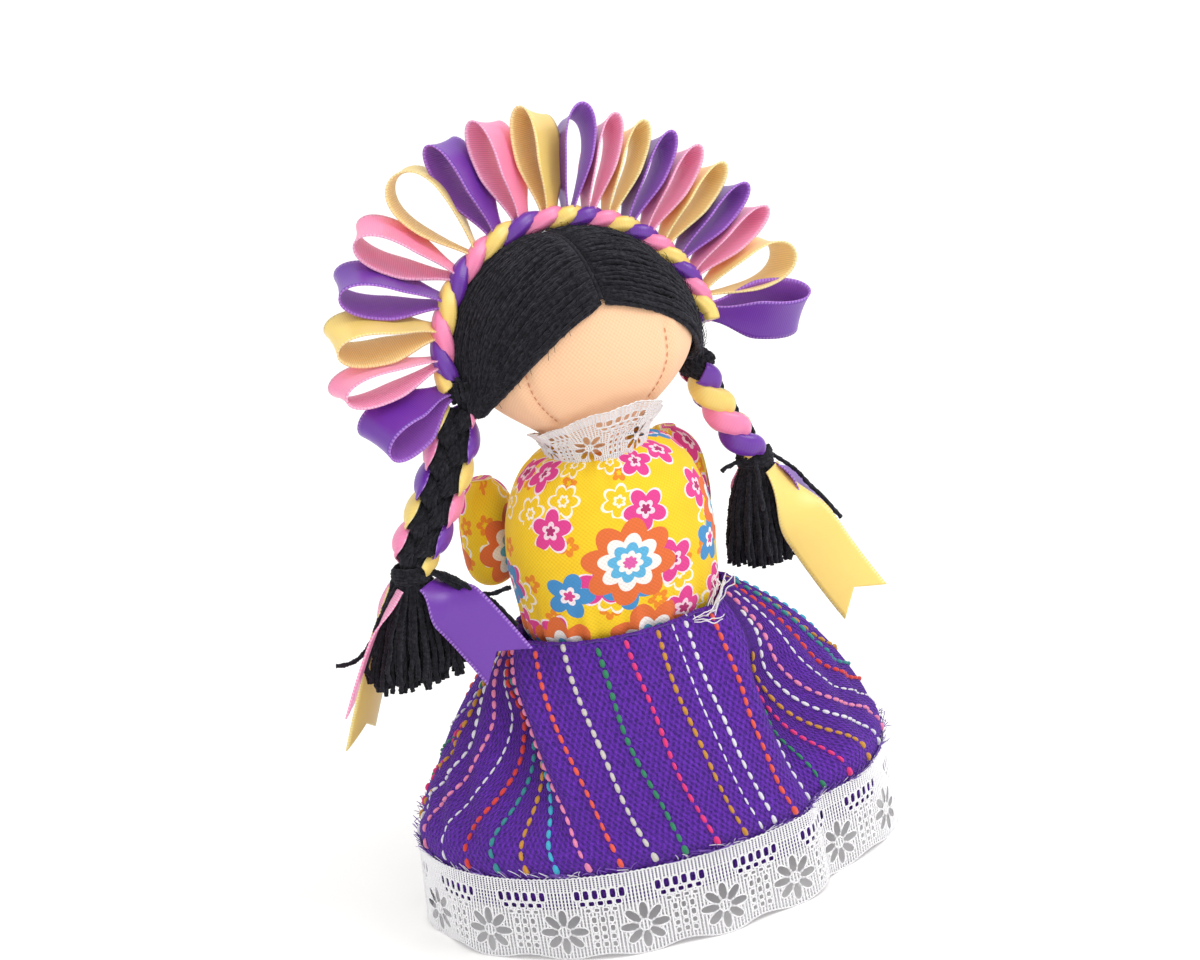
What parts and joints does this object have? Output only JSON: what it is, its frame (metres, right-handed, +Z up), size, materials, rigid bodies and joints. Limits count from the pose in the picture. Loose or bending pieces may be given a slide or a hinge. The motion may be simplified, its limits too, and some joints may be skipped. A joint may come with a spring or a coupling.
{
  "type": "otomi cloth doll",
  "caption": "Small faceless stuffed cloth doll with yarn braids, a crown of satin ribbon loops, printed bodice and a gathered striped skirt with a lace hem.",
  "frame": {"origin": "on the floor, under the middle of the lace hem", "axes": "+Z up along the doll, the doll faces -Y, +X is the doll's left"},
  "size_m": [0.1099, 0.0728, 0.1392],
  "materials": {
    "cotton_print": "matt plain-weave cotton with a printed flower pattern",
    "cotton_skin": "matt plain-weave cotton",
    "cotton_skirt": "coarse matt handloom cotton with dashed stripes",
    "lace_white": "open knitted lace",
    "yarn_black": "soft acrylic yarn",
    "satin_purple": "satin ribbon",
    "satin_pink": "satin ribbon",
    "satin_gold": "satin ribbon",
    "fibre_fill": "loose fibre filling"
  },
  "bodies": {
    "torso": {"torso_cover": "cotton_print", "torso_stuffing": "fibre_fill", "skirt": "cotton_skirt", "hem_lace": "lace_white", "waist_thread": "lace_white", "collar_lace": "lace_white"},
    "neck": {"neck_stub": "cotton_skin"},
    "head": {"head_cover": "cotton_skin", "head_stuffing": "fibre_fill", "parting_thread": "yarn_black", "crown_band": "satin_gold", "hair_right": "yarn_black", "hair_left": "yarn_black", "crown_loop_01": "satin_purple", "crown_loop_02": "satin_pink", "crown_loop_03": "satin_gold", "crown_loop_04": "satin_purple", "crown_loop_05": "satin_pink", "crown_loop_06": "satin_gold", "crown_loop_07": "satin_purple", "crown_loop_08": "satin_pink", "crown_loop_09": "satin_gold", "crown_loop_10": "satin_purple", "crown_loop_11": "satin_pink", "crown_loop_12": "satin_gold", "crown_loop_13": "satin_purple", "crown_loop_14": "satin_pink", "crown_loop_15": "satin_gold", "crown_loop_16": "satin_purple", "crown_loop_17": "satin_pink", "crown_loop_18": "satin_gold", "crown_loop_19": "satin_purple"},
    "right_arm": {"right_arm_cover": "cotton_print", "right_arm_stuffing": "fibre_fill"},
    "right_leg": {"right_leg_cover": "cotton_skin", "right_leg_stuffing": "fibre_fill"},
    "right_braid": {"right_braid": "yarn_black", "right_braid_tie": "yarn_black"},
    "right_tassel": {"right_tassel": "yarn_black", "right_tail_purple": "satin_purple", "right_tail_pink": "satin_pink", "right_tail_gold": "satin_gold"},
    "left_arm": {"left_arm_cover": "cotton_print", "left_arm_stuffing": "fibre_fill"},
    "left_leg": {"left_leg_cover": "cotton_skin", "left_leg_stuffing": "fibre_fill"},
    "left_braid": {"left_braid": "yarn_black", "left_braid_tie": "yarn_black"},
    "left_tassel": {"left_tassel": "yarn_black", "left_tail_purple": "satin_purple", "left_tail_pink": "satin_pink", "left_tail_gold": "satin_gold"}
  },
  "joints": [
    {"name": "neck_turn", "type": "hinge", "parent": "torso", "child": "neck", "pos_m": [0, 0, 0.081], "axis": [0, 0, 1], "range_deg": [-12, 12], "stiffness_Nm_per_rad": 0.01},
    {"name": "head_nod", "type": "hinge", "parent": "neck", "child": "head", "pos_m": [0, 0, 0.0864], "axis": [1, 0, 0], "range_deg": [-8, 8], "stiffness_Nm_per_rad": 0.04},
    {"name": "right_shoulder", "type": "hinge", "parent": "torso", "child": "right_arm", "pos_m": [-0.01829, 0.01246, 0.075], "axis": [-0.6428, 0.766, 0], "range_deg": [-20, 20], "stiffness_Nm_per_rad": 0.0006},
    {"name": "right_hip", "type": "hinge", "parent": "torso", "child": "right_leg", "pos_m": [-0.0076, 0, 0.0426], "axis": [1, 0, 0], "range_deg": [-18, 18]},
    {"name": "right_braid_swing", "type": "hinge", "parent": "head", "child": "right_braid", "pos_m": [-0.02414, -0.0014, 0.09363], "axis": [1, 0, 0], "range_deg": [-35, 5]},
    {"name": "right_tassel_swing", "type": "hinge", "parent": "right_braid", "child": "right_tassel", "pos_m": [-0.03801, -0.0016, 0.06562], "axis": [1, 0, 0], "range_deg": [-12, 12]},
    {"name": "left_shoulder", "type": "hinge", "parent": "torso", "child": "left_arm", "pos_m": [0.01829, 0.01246, 0.075], "axis": [-0.6428, -0.766, 0], "range_deg": [-20, 20], "stiffness_Nm_per_rad": 0.0006},
    {"name": "left_hip", "type": "hinge", "parent": "torso", "child": "left_leg", "pos_m": [0.0076, 0, 0.0426], "axis": [1, 0, 0], "range_deg": [-18, 18]},
    {"name": "left_braid_swing", "type": "hinge", "parent": "head", "child": "left_braid", "pos_m": [0.02257, 0.0051, 0.09192], "axis": [1, 0, 0], "range_deg": [-35, 5]},
    {"name": "left_tassel_swing", "type": "hinge", "parent": "left_braid", "child": "left_tassel", "pos_m": [0.0322, 0.0052, 0.06584], "axis": [1, 0, 0], "range_deg": [-12, 12]}
  ]
}
